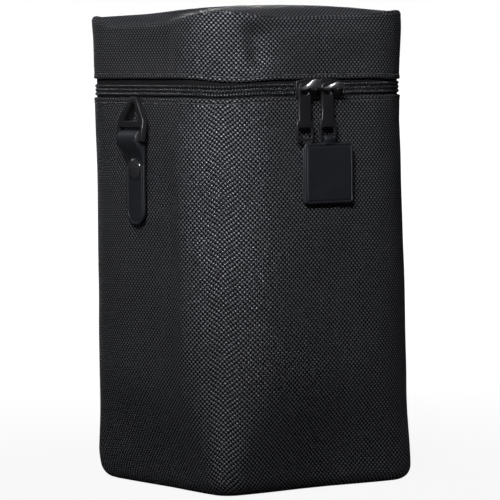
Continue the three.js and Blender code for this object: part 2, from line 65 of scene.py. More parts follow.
camera = placed("camera", camera_data)
towards_camera = np.array(
    [
        np.sin(camera_azimuth) * np.cos(camera_elevation),
        -np.cos(camera_azimuth) * np.cos(camera_elevation),
        np.sin(camera_elevation),
    ]
)
camera_right = np.array([np.cos(camera_azimuth), np.sin(camera_azimuth), 0])
aim = np.array([0, 0, 0.1136]) + 0.0008 * camera_right
camera.location = aim + camera_distance * towards_camera
camera_tilt = mathutils.Euler((np.pi / 2 - camera_elevation, 0, camera_azimuth)).to_quaternion()
camera.rotation_euler = (camera_tilt @ camera_roll).to_euler()
bpy.context.scene.camera = camera
bpy.context.scene.view_settings.view_transform = "Standard"

# Studio: a white floor and a white backdrop behind the pouch, seen by the camera and in anything
# shiny. In the dim room stand soft boxes in front, on the left, overhead and, low down, behind.
floor_mesh = bpy.data.meshes.new("floor")
floor_mesh.from_pydata([(-30, -30, 0), (30, -30, 0), (30, 30, 0), (-30, 30, 0)], [], [(0, 1, 2, 3)])
floor = placed("floor", floor_mesh)
backdrop_turn = np.radians(11)
backdrop_way = tuple(-np.cos(backdrop_turn) * towards_camera - np.sin(backdrop_turn) * camera_right)


def wired(tree, kind, values):
    """A shader node with its settings and inputs, by name or place. A value that is another node's
    output is linked, and any other is set."""
    node = tree.nodes.new(kind)
    for key, value in values.items():
        if isinstance(value, bpy.types.NodeSocket):
            tree.links.new(value, node.inputs[key])
        elif isinstance(key, str) and hasattr(node, key):
            setattr(node, key, value)
        else:
            node.inputs[key].default_value = value
    return node


def maths(tree, operation, *values):
    """The output of a Math node, whose inputs are sockets or plain numbers."""
    inputs = {"operation": operation, **dict(enumerate(values))}
    return wired(tree, "ShaderNodeMath", inputs).outputs[0]


def new_finish(name, plain):
    """A new material, its node tree and its shader, with the shader's plain inputs set by name."""
    finish = bpy.data.materials.new(name)
    finish.use_nodes = True
    shader = finish.node_tree.nodes["Principled BSDF"]
    for key, value in plain.items():
        shader.inputs[key].default_value = value
    return finish, finish.node_tree, shader


def backdrop_share(tree, way):
    """1 for the camera's own rays, and for mirrored and clear ones whose way goes to the backdrop,
    from the cosine between the two, and 0 for diffuse light."""
    path = tree.nodes.new("ShaderNodeLightPath").outputs
    shiny = maths(tree, "MAXIMUM", path["Is Glossy Ray"], path["Is Transmission Ray"])
    between = {"operation": "DOT_PRODUCT", 0: way, 1: backdrop_way}
    cosine = wired(tree, "ShaderNodeVectorMath", between).outputs["Value"]
    edge = {"From Min": 0.955, "From Max": 0.99, "Value": cosine}
    in_shine = maths(tree, "MULTIPLY", shiny, wired(tree, "ShaderNodeMapRange", edge).outputs[0])
    return maths(tree, "MAXIMUM", path["Is Camera Ray"], in_shine)


floor_finish, floor_tree, floor_body = new_finish(
    "white floor", {"Base Color": (0.11, 0.11, 0.11, 1), "Roughness": 0.95, "Specular IOR Level": 0}
)
floor_place = floor_tree.nodes.new("ShaderNodeTexCoord").outputs["Object"]
floor_way = wired(floor_tree, "ShaderNodeVectorMath", {"operation": "NORMALIZE", 0: floor_place})
floor_far = wired(floor_tree, "ShaderNodeVectorMath", {"operation": "LENGTH", 0: floor_place})
floor_range = {"From Min": 0.15, "From Max": 1.0, "To Min": 0.82, "To Max": 1.0}
floor_range["Value"] = floor_far.outputs["Value"]
floor_fade = wired(floor_tree, "ShaderNodeMapRange", floor_range).outputs[0]
floor_seen = backdrop_share(floor_tree, floor_way.outputs[0])
floor_share = maths(floor_tree, "MULTIPLY", floor_seen, floor_fade)
floor_glow = wired(floor_tree, "ShaderNodeEmission", {"Color": (1, 1, 1, 1), "Strength": 1.12})
floor_looks = {0: floor_share, 1: floor_body.outputs[0], 2: floor_glow.outputs[0]}
floor_mix = wired(floor_tree, "ShaderNodeMixShader", floor_looks)
floor_tree.links.new(floor_mix.outputs[0], floor_tree.nodes["Material Output"].inputs["Surface"])
floor.data.materials.append(floor_finish)

world = bpy.data.worlds.new("studio")
bpy.context.scene.world = world
world.use_nodes = True
room = world.node_tree
dim_room = room.nodes["Background"]
dim_room.inputs["Color"].default_value = (0.026, 0.026, 0.029, 1)
backdrop = wired(room, "ShaderNodeBackground", {"Color": (1, 1, 1, 1)})
looking = room.nodes.new("ShaderNodeTexCoord")
room_share = backdrop_share(room, looking.outputs["Generated"])
room_looks = {0: room_share, 1: dim_room.outputs[0], 2: backdrop.outputs[0]}
room_mix = wired(room, "ShaderNodeMixShader", room_looks)
room.links.new(room_mix.outputs[0], room.nodes["World Output"].inputs["Surface"])


def soft_box(name, turn, height, distance, size, power, aim_height, spread):
    """A square lamp aimed at a height on the pouch: turn is its angle from the camera, to the
    right, and spread the angle in degrees that its grid lets through."""
    lamp_data = bpy.data.lights.new(name, "AREA")
    lamp_data.shape, lamp_data.size, lamp_data.energy = "SQUARE", size, power
    lamp_data.spread = np.radians(spread)
    angle = camera_azimuth + np.radians(turn)
    place = np.array([np.sin(angle) * distance, -np.cos(angle) * distance, height])
    fall = np.array([0, 0, aim_height]) - place
    lamp = placed(name, lamp_data)
    lamp.location = place
    lamp.rotation_euler = (np.arctan2(np.hypot(fall[0], fall[1]), -fall[2]), 0, angle)


soft_box("key", -10, height=0.78, distance=1.0, size=0.4, power=1.35, aim_height=0.262, spread=26)
soft_box("overhead", -40, height=1.5, distance=0.4, size=0.6, power=2.1, aim_height=0.2, spread=80)
soft_box("left", -125, height=0.9, distance=1.2, size=0.6, power=0.085, aim_height=0.28, spread=30)
soft_box("back", 180, height=0.18, distance=1.3, size=0.42, power=1.0, aim_height=0.12, spread=50)

# Bag's cloth: one wrap of black ballistic nylon, sewn to the base and turned in at the zip. It is
# square where the base board holds it, rounder above, and its way round is the same at every
# height. The turned edge is caught down by a row of stitches beside the zip.
base_form = dict(width=116, corner=12, bow=2)
belly_form = dict(width=134, corner=42.5, bow=10)
mouth_form = dict(width=129, corner=36, bow=1.5)
crown_form = dict(width=128, corner=30, bow=3)
edge_radius, belly_start, mouth_blend = 7, 60, 60
body_top, lid_bottom, lid_seam, zip_height = 190.0, 197.4, 230.0, 193.7
cloth_girth = 445
# The turned edge, the same on bag and lid: lengths from the edge, insets from the wall's form, and
# where the stitches run. The corner nearest the camera is given in degrees, from the right side.
edge_lengths = np.array([0, 0.05, 0.3, 0.8, 1.4, 2.0, 2.4, 2.8])
edge_insets = np.array([0.55, 0.2, -0.12, -0.26, -0.22, 0, 0.22, 0.04])
stitch_line, near_corner = 2.4, 225


def ease(share):
    """Smooth step of a share, which is held between 0 and 1."""
    k = np.clip(share, 0, 1)
    return k * k * (3 - 2 * k)


def wall_reach(angle, height, inset):
    """Distance from the axis to the wall at an angle and height: four bowed sides and four corner
    arcs that meet smoothly, their sizes eased from base to belly, from belly to mouth and from
    mouth to crown."""
    angle, height, inset = np.broadcast_arrays(angle, height, inset)
    belly = ease((height - edge_radius) / (belly_start - edge_radius))
    mouth = ease((height - body_top + mouth_blend) / mouth_blend)
    crown = ease((height - lid_bottom) / (lid_seam - lid_bottom))
    form = {}
    for key, value in base_form.items():
        for above, share in [(belly_form, belly), (mouth_form, mouth), (crown_form, crown)]:
            value = value + (above[key] - value) * share
        form[key] = value
    turned = np.mod(angle, np.pi / 2)
    turned = np.minimum(turned, np.pi / 2 - turned)
    bow = np.radians(form["bow"])
    centre = (form["width"] / 2 - form["corner"]) / (1 + np.tan(bow / 2))
    corner = form["corner"] - inset
    side = corner + centre / np.sin(bow)
    behind = form["width"] / 2 - inset - side
    joint = np.arctan2(side * np.sin(bow), behind + side * np.cos(bow))
    along = centre * (np.cos(turned) + np.sin(turned))
    beside = behind * np.sin(turned)
    on_side = behind * np.cos(turned) + np.sqrt(np.maximum(side**2 - beside**2, 0))
    on_corner = along + np.sqrt(np.maximum(corner**2 - 2 * centre**2 + along**2, 0))
    return np.where(turned < joint, on_side, on_corner)


def new_piece(name, points, faces, marks=None):
    """A smooth piece of points in mm and faces. marks holds the cloth's own lengths, in mm, at each
    corner of each face, and becomes the UV map."""
    mesh = bpy.data.meshes.new(name)
    mesh.from_pydata((points.reshape(-1, 3) / 1000).tolist(), [], faces)
    if marks is not None:
        cloth = (marks / 1000).astype(np.float32)
        mesh.uv_layers.new(name="cloth").data.foreach_set("uv", cloth.ravel())
    mesh.polygons.foreach_set("use_smooth", np.ones(len(mesh.polygons), bool))
    mesh.update()
    return placed(name, mesh)


def wrapped(name, heights, insets, angles, round_closed):
    """A closed strip round the bag: each row of heights and insets is one line of its
    cross-section, which goes up the outside and down the inside, carried round the wall's form at
    the angles. The cloth's map is the length round the bag across, and the length along the
    cross-section."""
    heights, insets = np.broadcast_arrays(np.asarray(heights, float), np.asarray(insets, float))
    reach = wall_reach(angles, heights, insets)
    rounds = [reach * np.cos(angles), reach * np.sin(angles), heights + 0 * reach]
    points = np.stack(rounds, axis=-1)
    index = np.arange(reach.size).reshape(reach.shape)
    index = np.concatenate([index, index[:1]])
    ends = points
    if round_closed:
        index = np.concatenate([index, index[:, :1]], axis=1)
        ends = np.concatenate([points, points[:, :1]], axis=1)
    steps = np.linalg.norm(np.diff(ends, axis=1), axis=-1)
    across = np.concatenate([np.zeros((len(points), 1)), np.cumsum(steps, axis=1)], axis=1)
    if round_closed:
        across = (across / across[:, -1:] - 0.5) * cloth_girth
    across = np.concatenate([across, across[:1]])
    rise = np.linalg.norm(np.diff(np.concatenate([ends, ends[:1]]), axis=0), axis=-1)
    along = np.concatenate([0 * rise[:1], np.cumsum(rise, axis=0)])
    lengths = np.stack([across, along], axis=-1)
    this, later = slice(None, -1), slice(1, None)
    corners = [(this, this), (this, later), (later, later), (later, this)]
    faces = np.stack([index[corner] for corner in corners], axis=-1).reshape(-1, 4).tolist()
    marks = np.stack([lengths[corner] for corner in corners], axis=2).reshape(-1, 2)
    if not round_closed:
        faces += [index[:-1, 0].tolist(), index[:-1, -1][::-1].tolist()]
        marks = np.concatenate([marks, lengths[:-1, 0], lengths[:-1, -1][::-1]])
    return new_piece(name, points, faces, marks)


def column(*parts):
    """The rows of a cross-section, from numbers and lists of them, one below the other."""
    return np.concatenate([np.atleast_1d(part) for part in parts])[:, None]


def ripples(angles, heights, size, seed):
    """Soft unevenness of stuffed cloth, in mm: a sum of waves round the bag and up it, of random
    phase."""
    rng = np.random.default_rng(seed)
    total = np.zeros(np.broadcast_shapes(angles.shape, heights.shape))
    for turns, rise in [(3, 70), (5, 48), (7, 90), (9, 36), (12, 60), (14, 28)]:
        phase, shift = rng.uniform(0, 2 * np.pi, 2)
        wave = np.sin(turns * angles + phase) * np.sin(2 * np.pi * heights / rise + shift)
        total = total + wave / turns
    return size * total


def around(count):
    """Angles all round the bag from the middle of the back: a side's share s is moved to s + 0.1
    sin(2 pi s + pi), so the columns are closer together in the middle of a side."""
    share = np.arange(count) / count * 4
    side, part = np.floor(share), share % 1
    bent = part + 0.10 * np.sin(2 * np.pi * part + np.pi)
    return np.pi / 2 + (side + bent) * np.pi / 2


def edge_drift(angles, heights):
    """How far the cloth beside the zip strays up or down, in mm: the zip sags at the corner nearest
    the camera, and the lid's edge lifts off it, most along the left side and a little along the
    front."""
    degrees = np.degrees(np.mod(angles, 2 * np.pi))
    beside_zip = ease(1.3 - np.abs(heights - zip_height) / 26)
    sag = -0.8 * np.exp(-(((degrees - near_corner) / 9) ** 2)) * beside_zip
    front = 0.8 * ease((degrees - 231) / 16) * ease((308 - degrees) / 14)
    left = 1.8 * ease((238 - degrees) / 24) * ease((degrees - 118) / 16)
    lift = (front + left) * ease((214 - heights) / 13)
    return sag + np.where(heights > zip_height + 2, lift, 0)


def bag_slack(angles, heights):
    """How far the bag's cloth stands out from the form, in mm: it fills out at the corners below
    the zip, most at the right front one, its left panel is pressed in beside the near corner and
    tucked in at its foot, and it ripples softly."""
    below_zip = 178 - heights
    fill = 2.5 * (1 - np.exp(-np.clip(below_zip, 0, None) / 60)) * np.sin(2 * angles) ** 2
    fill = fill * (1 + 0.6 * np.cos(angles + np.pi / 4))
    span = ease(below_zip / 40) * ease((heights - 26) / 40)
    beside = np.degrees(np.mod(angles, 2 * np.pi)) - 203.5 - 2.5 * np.sin(heights / 60)
    pressed = -1.8 * ease((2.5 - beside) / 6.5) * ease((beside + 42) / 30) * span
    tucked = -2.2 * ease((16 - heights) / 16) * np.exp(-(((beside + 55) / 30) ** 2))
    wave = ripples(angles, heights, 0.4, 4) * ease((heights - 12) / 50) * ease((186 - heights) / 25)
    return fill + pressed + tucked + wave


full_round = around(360)
foot_turn = np.linspace(0, np.pi / 2, 9)
cloth_heights = column(
    0.3,
    0.3 + edge_radius * (1 - np.cos(foot_turn)),
    np.linspace(8.8, 186.6, 118),
    body_top - edge_lengths[::-1],
    [189.8, 189.2],
    np.linspace(186, 16, 12),
    [10.0, 7.3, 3.4, 1.25, 1.25],
)
cloth_insets = column(
    9.5,
    edge_radius * (1 - np.sin(foot_turn)),
    np.zeros(118),
    edge_insets[::-1],
    [0.95, 1.08],
    np.full(14, 0.95),
    [2.3, 6.0, 9.5],
)
cloth_heights = cloth_heights + edge_drift(full_round, cloth_heights)
cloth_insets = cloth_insets - bag_slack(full_round, cloth_heights)
bag_cloth = wrapped("bag_cloth", cloth_heights, cloth_insets, full_round, True)

# Ballistic weave: a basket weave of doubled threads, so the face is a chequer of floats that lie
# across and floats that stand upright. Its colour holds painted light: a painted highlight on the
# crowns of the crosswise floats, as if lit from above, and painted shade on the upright floats and
# in the gaps between floats.
weave = bpy.data.node_groups.new("ballistic weave", "ShaderNodeTree")
weave.interface.new_socket("Cloth", in_out="INPUT", socket_type="NodeSocketVector")
for label in ("Cell Width", "Cell Height"):
    weave.interface.new_socket(label, in_out="INPUT", socket_type="NodeSocketFloat")
for label in ("Float", "Gap Shade", "Crown", "Thread"):
    weave.interface.new_socket(label, in_out="OUTPUT", socket_type="NodeSocketFloat")
weave_in = weave.nodes.new("NodeGroupInput").outputs


def mixed(tree, share, low, high):
    """low where share is 0 and high where it is 1, numbers or sockets."""
    inputs = {"data_type": "FLOAT", 0: share, 2: low, 3: high}
    return wired(tree, "ShaderNodeMix", inputs).outputs[0]


cloth_place = wired(weave, "ShaderNodeSeparateXYZ", {0: weave_in["Cloth"]}).outputs
cell_x = maths(weave, "DIVIDE", cloth_place["X"], weave_in["Cell Width"])
cell_y = maths(weave, "DIVIDE", cloth_place["Y"], weave_in["Cell Height"])
cells = maths(weave, "ADD", maths(weave, "FLOOR", cell_x), maths(weave, "FLOOR", cell_y))
is_weft = maths(weave, "FLOORED_MODULO", cells, 2.0)
part_x = maths(weave, "SUBTRACT", maths(weave, "FRACT", cell_x), 0.5)
part_y = maths(weave, "SUBTRACT", maths(weave, "FRACT", cell_y), 0.5)
lengthwise, sideways = mixed(weave, is_weft, part_y, part_x), mixed(weave, is_weft, part_x, part_y)
arch = maths(weave, "COSINE", maths(weave, "MULTIPLY", lengthwise, np.pi * 0.96))
belly_of_float = maths(weave, "COSINE", maths(weave, "MULTIPLY", sideways, np.pi * 0.94))
two_threads = maths(weave, "SINE", maths(weave, "MULTIPLY", sideways, 2 * np.pi))
wave_x = maths(weave, "SINE", maths(weave, "MULTIPLY", cell_x, np.pi))
wave_y = maths(weave, "SINE", maths(weave, "MULTIPLY", cell_y, np.pi))
# Painted shade between floats: much darker where rows of floats meet, a little where columns meet.
row_gap_shade = maths(weave, "MULTIPLY_ADD", maths(weave, "MULTIPLY", wave_y, wave_y), 0.85, 0.15)
column_gap_shade = maths(weave, "MULTIPLY_ADD", maths(weave, "MULTIPLY", wave_x, wave_x), 0.3, 0.7)
weave_out = {
    "Float": maths(weave, "MULTIPLY", maths(weave, "MULTIPLY", wave_x, wave_y), -1.0),
    "Gap Shade": maths(weave, "MULTIPLY", row_gap_shade, column_gap_shade),
    "Crown": maths(weave, "MULTIPLY", arch, maths(weave, "POWER", belly_of_float, 0.6)),
    "Thread": maths(weave, "ABSOLUTE", two_threads),
}
wired(weave, "NodeGroupOutput", weave_out)


def noise_at(tree, scale, detail):
    """A noise of the piece's own place, as a share."""
    spot = tree.nodes.new("ShaderNodeTexCoord").outputs["Object"]
    noise = wired(tree, "ShaderNodeTexNoise", {"Scale": scale, "Detail": detail, "Vector": spot})
    return noise.outputs["Fac"]


def coated(tree, surface, share, dark, light, rough, height, relief):
    """Feeds a shader: its colour goes from dark to light by a share, its roughness is rough, and
    its bump is the height times relief, in mm."""
    shade = {"data_type": "RGBA", 0: share, 6: (*dark, 1), 7: (*light, 1)}
    bump = wired(tree, "ShaderNodeBump", {"Distance": relief / 1000, "Height": height})
    tree.links.new(wired(tree, "ShaderNodeMix", shade).outputs[2], surface.inputs["Base Color"])
    tree.links.new(rough, surface.inputs["Roughness"])
    tree.links.new(bump.outputs[0], surface.inputs["Normal"])


def woven_nylon(name, weft, warp, cell, relief, roughness, specular):
    """Black nylon in the ballistic weave, with painted light in its colour. weft and warp are the
    two floats' colours, the painted highlight of a lit crosswise float and the painted shade of an
    upright one, and cell their size in mm. Colour and gleam follow crest_highlight x gap shade x
    drift x strand: a painted highlight on the crowns of the crosswise floats, painted shade on the
    upright ones and in the gaps, and the bump is crown + thread / 4."""
    finish, tree, surface = new_finish(name, {"Specular IOR Level": specular})
    place = wired(tree, "ShaderNodeUVMap", {"uv_map": "cloth"}).outputs[0]
    size = {"Cell Width": cell[0] / 1000, "Cell Height": cell[1] / 1000}
    pattern = wired(tree, "ShaderNodeGroup", {"node_tree": weave, "Cloth": place, **size}).outputs
    crest = {"interpolation_type": "SMOOTHSTEP", "From Min": -0.45, "From Max": 0.4}
    # Painted highlight: the crowns of the crosswise floats are made lighter, as if lit from above.
    crest_highlight = wired(tree, "ShaderNodeMapRange", {**crest, "Value": pattern["Float"]}).outputs[0]
    drift = maths(tree, "MULTIPLY_ADD", noise_at(tree, 22, 3), 0.5, 0.75)
    strand = maths(tree, "MULTIPLY_ADD", noise_at(tree, 900, 1), 0.8, 0.6)
    # The colour's share is painted light, the crown highlight times the painted gap shade, with
    # random drift and strand; the same share sets the gleam.
    shown = maths(tree, "MULTIPLY", maths(tree, "MULTIPLY", crest_highlight, pattern["Gap Shade"]), drift)
    level = maths(tree, "MULTIPLY", shown, strand)
    tree.links.new(maths(tree, "MULTIPLY", level, 0.9), surface.inputs["Metallic"])
    height = maths(tree, "MULTIPLY_ADD", pattern["Thread"], 0.25, pattern["Crown"])
    rough = mixed(tree, crest_highlight, roughness + 0.2, roughness)
    coated(tree, surface, level, warp, weft, rough, height, relief)
    return finish


# Painted light: the lit colour of the crosswise floats and the shaded colour of the upright floats,
# both of the same black nylon.
nylon_lit_weft, nylon_shaded_warp = (0.144, 0.149, 0.166), (0.0008, 0.0008, 0.0010)
nylon = woven_nylon("ballistic nylon", nylon_lit_weft, nylon_shaded_warp, (1.12, 1.16), 0.20, 0.40, 0.06)
bag_cloth.data.materials.append(nylon)
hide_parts("body_outer")
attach(bag_cloth, "body")

# Base: a flat panel of the same nylon, sewn in inside the turned foot of the bag's cloth. A stiff
# board and a pad lie on it.
panel_shares = np.array([1, 0.992, 0.97, 0.9, 0.7, 0.4, 0.1])


def capped(name, shares, tops, unders, rim):
    """A closed disc: rings of a rim line scaled by the shares, at their top and underside heights,
    with a middle point on each face. tops and unders give one height for each share, or for each
    share and angle."""
    count, turn = len(rim), len(shares)
    flat = rim * np.asarray(shares)[:, None, None]
    levels = [np.reshape(level, (turn, -1, 1)) + np.zeros((count, 1)) for level in (tops, unders)]
    top, under = [np.concatenate([flat, level], axis=-1) for level in levels]
    middle = np.array([[0, 0, top[-1, :, 2].mean()], [0, 0, under[-1, :, 2].mean()]])
    points = np.concatenate([top.reshape(-1, 3), under[::-1].reshape(-1, 3), middle])
    index = np.arange(2 * turn * count).reshape(-1, count)
    after = np.roll(index, -1, axis=1)
    ring = np.delete(np.arange(2 * turn), turn - 1)
    next_ring = (ring + 1) % (2 * turn)
    quads = np.stack([index[ring], after[ring], after[next_ring], index[next_ring]], axis=-1)
    faces = quads.reshape(-1, 4).tolist()
    fans = [(index[turn - 1], after[turn - 1], 0), (after[turn], index[turn], 1)]
    for first, second, side in fans:
        apex = np.full(count, index.size + side)
        faces += np.stack([first, second, apex], axis=-1).tolist()
    return new_piece(name, points, faces, points[np.concatenate(faces), :2])


def rim_at(height, inset):
    """The wall's line at a height and inset, as points round the bag in X and Y."""
    reach = wall_reach(full_round, height, inset)
    return np.column_stack([reach * np.cos(full_round), reach * np.sin(full_round)])


base_tops, base_unders = [0.45, 0.8] + [0.9] * 5, [0.35, 0.06] + [0.0] * 5
base_cloth = capped("base_cloth", panel_shares, base_tops, base_unders, rim_at(edge_radius, 7.3))
base_cloth.data.materials.append(nylon)
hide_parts("base_outer")
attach(base_cloth, "body")


def soft_finish(name, colour, grain, relief, roughness, sheen):
    """A plain soft material whose fine fibre or foam grain comes from one noise at a grain size in
    mm: it moves the colour by 0.4 of itself either way and the roughness by 0.08."""
    finish, tree, surface = new_finish(name, {"Sheen Weight": sheen, "Sheen Roughness": 0.5})
    fibre = noise_at(tree, 1000 / grain, 4)
    dark, light = [0.6 * c for c in colour], [1.4 * c for c in colour]
    rough = mixed(tree, fibre, roughness - 0.08, roughness + 0.08)
    coated(tree, surface, fibre, dark, light, rough, fibre, relief)
    return finish


pad_tops, pad_unders = [7.4, 8.2, 8.7] + [8.8] * 4, [4.8, 4.1] + [3.8] * 5
base_pad = capped("base_pad", panel_shares, pad_tops, pad_unders, rim_at(edge_radius, 7.4))
foam_finish = soft_finish("closed-cell foam", (0.07, 0.07, 0.075), 0.8, 0.3, 0.9, 0)
base_pad.data.materials.append(foam_finish)
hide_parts("base_foam")
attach(base_pad, "body")
board_finish = soft_finish("stiffener board", (0.03, 0.03, 0.032), 2.5, 0.1, 0.55, 0)
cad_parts["base_board"].data.materials.clear()
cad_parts["base_board"].data.materials.append(board_finish)

# Padding of the body's walls: one ring of soft foam between the cloth and the lining, which ends
# short of the zip. It keeps clear of the cloth where that is pressed in.
wall_rows = np.linspace(9, 184, 16)
cloth_room = 2.3
pad_heights = column(wall_rows, [186, 187, 187.1, 187, 186], wall_rows[::-1])
pad_insets = column(np.full(16, 2.15), [2.2, 2.9, 4.5, 6.2, 6.9], np.full(16, 7.0))
pad_insets = np.maximum(pad_insets, cloth_room - bag_slack(full_round, pad_heights))
body_padding = wrapped("body_padding", pad_heights, pad_insets, full_round, True)
body_padding.data.materials.append(foam_finish)
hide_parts("body_foam_front", "body_foam_right", "body_foam_back", "body_foam_left")
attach(body_padding, "body")

# Lining of the body: a brushed knit that goes over the padding's rim and down to the floor of the
# bag, with a floor panel laid in.
lining_rows = np.linspace(11, 182, 18)
lining_heights = column(
    [178, 184, 187.2, 188.1, 188.35, 188.1, 187.2, 184],
    lining_rows[::-1],
    [9.8, 9.8],
    lining_rows,
    [184, 186.6, 187.4, 187.6, 187.4, 186.6, 183.6, 178],
)
lining_insets = column(
    [1.86, 1.88, 2.1, 3.1, 4.8, 6.6, 7.75, 8.0],
    np.full(19, 8.0),
    np.full(19, 7.4),
    [7.35, 6.9, 6.0, 4.6, 3.2, 2.5, 2.15, 2.12],
)
body_lining = wrapped("body_lining_cloth", lining_heights, lining_insets, full_round, True)
lining_finish = soft_finish("brushed lining", (0.022, 0.022, 0.025), 0.35, 0.25, 0.85, 0.15)
body_lining.data.materials.append(lining_finish)
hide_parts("body_lining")
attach(body_lining, "body")

floor_tops, floor_unders = [9.45, 9.6, 9.7, 9.75, 9.9, 10.1, 10.2], [9.15] + [9.1] * 6
floor_lining = capped("floor_lining", panel_shares, floor_tops, floor_unders, rim_at(9.4, 8.3))
floor_lining.data.materials.append(lining_finish)
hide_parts("base_lining")
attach(floor_lining, "body")

# Lid's band: a strip of the nylon from the zip up to the seam of the top, with its lower edge
# turned in and stitched as the bag's is. It is slacker than the bag, with a soft fold at the near
# corner.


def seam_at(angles):
    """Height of the seam between the lid's band and top: high at the corners, the far left one
    least, and sagging between them, most on the left side and least at the front."""
    middle = 226.2 - 1.6 * np.cos(angles - np.pi) - 1.4 * np.sin(angles)
    corner = 230.2 + 0.9 * np.minimum(np.cos(angles + np.pi / 4), 0)
    return middle + (corner - middle) * (np.sin(2 * angles) ** 2) ** 3


def lid_slack(angles, heights):
    """How far the lid's slack cloth stands out from the form, in mm: ripples, a groove between two
    low ridges beside the corner nearest the camera, a left panel pressed in, and one that leans out
    upwards. All of it fades out at the zip and at the seam."""
    rise = (heights - 200) / 30
    level = ease(rise * 3) * ease((seam_at(angles) - 1.2 - heights) / 8)
    turned = np.mod(angles - np.radians(near_corner) + np.pi, 2 * np.pi) - np.pi
    beside_fold = np.degrees(turned) - 14.5 + 4 * rise
    groove = -2.5 * np.exp(-((beside_fold / np.where(beside_fold < 0, 2.8, 7.0)) ** 2))
    ridge = 0.5 * np.exp(-(((turned + np.radians(2)) / np.radians(4)) ** 2))
    ridge = ridge + 0.3 * np.exp(-(((turned - np.radians(19)) / np.radians(3.5)) ** 2))
    beside = np.degrees(turned) + 20.5
    pressed = -0.9 * ease((2.5 - beside) / 6) * ease((beside + 42) / 30)
    lean = (2.0 * rise - 0.5) * ease((beside - 36) / 18) * ease((105 - beside) / 25)
    return level * (ripples(angles, heights, 0.7, 11) + groove + ridge + pressed + lean)


seam = seam_at(full_round)
band_low = 201.2
band_rows = band_low + (seam - 1.6 - band_low) * np.linspace(0, 1, 26)[:, None]
band_heights = np.concatenate(
    [
        lid_bottom + column(edge_lengths) + 0 * seam,
        band_rows,
        seam + column([-0.9, -0.3, 0.05, -0.3]),
        (band_rows - 0.4)[::-4],
        column([198.4, 197.7]) + 0 * seam,
    ]
)
band_heights = band_heights + edge_drift(full_round, band_heights)
band_insets = column(edge_insets, np.zeros(27), [0.15, 0.55], np.full(8, 0.95), [1.08, 0.95])
band_insets = band_insets - lid_slack(full_round, band_heights)
lid_band = wrapped("lid_band", band_heights, band_insets, full_round, True)
lid_band.data.materials.append(nylon)
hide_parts("lid_band_outer")
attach(lid_band, "lid")

# Lid's top: a square panel of the nylon, sewn in inside the band's seam, with a welt that stands up
# along the stitching, and domed by its padding, which has sunk on the left.
top_shares = np.concatenate([[1, 0.992, 0.98, 0.962, 0.94], np.linspace(0.91, 0.05, 26)])
dome_top = 234.6
# How much of the dome's rise is left, by the distance in mm to the right as the camera sees it.
sunk_places = [-80, -62, -49, -32, -19, -6, 14, 33, 52, 67, 80]
sunk_shares = [0.42, 0.40, 0.43, 0.74, 0.88, 0.95, 1.0, 1.02, 0.98, 0.72, 0.5]


def dome_at(shares, drop):
    """Heights of the dome: up from the seam's line to its middle as one less the share to a power,
    with a welt that stands up just inside the seam. Its padding has sunk on the left, as the far
    corner shows."""
    rise = 1 - shares[:, None] ** 2.3
    welt = 0.7 * np.exp(-(((1 - shares[:, None]) / 0.018 - 0.9) ** 2))
    across = shares[:, None] * (rim_at(lid_seam, 0.5) @ camera_right[:2])
    full = np.interp(across, sunk_places, sunk_shares)
    return seam + 0.2 + (dome_top - seam - 0.2) * rise * full + welt - drop


dome_up, dome_under = dome_at(top_shares, 0), dome_at(top_shares, 0.9)
lid_top = capped("lid_top", top_shares, dome_up, dome_under, rim_at(lid_seam, 0.5))
lid_top.data.materials.append(nylon)
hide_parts("lid_top_outer")
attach(lid_top, "lid")

# Lid's padding and lining: a pad under the dome and a ring of foam in the band, which keeps clear
# of the band's fold, and the same brushed knit over both.
lid_shares = np.array([1, 0.99, 0.96, 0.85, 0.6, 0.3, 0.08])
lid_side = seam - 6.6
pad_top, pad_under = dome_at(lid_shares, 1.9), dome_at(lid_shares, 6.0)
lid_top_pad = capped("lid_top_pad", lid_shares, pad_top, pad_under, rim_at(lid_seam, 1.9))
lid_top_pad.data.materials.append(foam_finish)
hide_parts("lid_top_foam")
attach(lid_top_pad, "lid")

lid_pad_heights = np.concatenate(
    [
        column([204.0, 200.2, 199.3, 199.1, 199.3, 200.2]) + 0 * seam,
        204.0 + np.linspace(0, 1, 7)[:, None] * (lid_side - 207.0),
        lid_side - column([0.4, 0.1, 0.4, 3.0]),
    ]
)
lid_pad_insets = column([7.0, 6.9, 6.2, 4.5, 2.9, 2.2], np.full(7, 2.15), [2.4, 4.5, 6.6, 7.0])
lid_pad_insets = np.maximum(lid_pad_insets, cloth_room - lid_slack(full_round, lid_pad_heights))
lid_padding = wrapped("lid_padding", lid_pad_heights, lid_pad_insets, full_round, True)
lid_padding.data.materials.append(foam_finish)
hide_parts("lid_foam_front", "lid_foam_right", "lid_foam_back", "lid_foam_left")
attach(lid_padding, "lid")

lid_lining_out = column([212, 204.0, 200.6, 199.4, 198.95, 199.4, 200.6, 206.0]) + 0 * seam
lid_lining_in = column([206.0, 200.8, 199.8, 199.6, 199.8, 200.8, 204.0, 212]) + 0 * seam
lid_lining_top = lid_side[None, :] - 0.5
lid_lining_insets = column(
    [8.0, 8.0, 8.0, 7.8, 6.8, 4.8, 3.1, 2.0, 1.86], [2.12, 2.15, 2.6, 4.6, 6.4, 7.2, 7.4, 7.4, 7.4]
)
lid_lining_heights = np.concatenate([lid_lining_top, lid_lining_out, lid_lining_in, lid_lining_top])
lid_lining = wrapped("lid_lining_cloth", lid_lining_heights, lid_lining_insets, full_round, True)
lid_lining.data.materials.append(lining_finish)
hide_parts("lid_band_lining")
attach(lid_lining, "lid")

cover_top, cover_under = dome_at(lid_shares, 6.6), dome_at(lid_shares, 7.2)
lid_top_lining = capped(
    "lid_top_lining_cloth", lid_shares, cover_top, cover_under, rim_at(lid_seam, 8.3)
)
lid_top_lining.data.materials.append(lining_finish)
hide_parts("lid_top_lining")
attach(lid_top_lining, "lid")

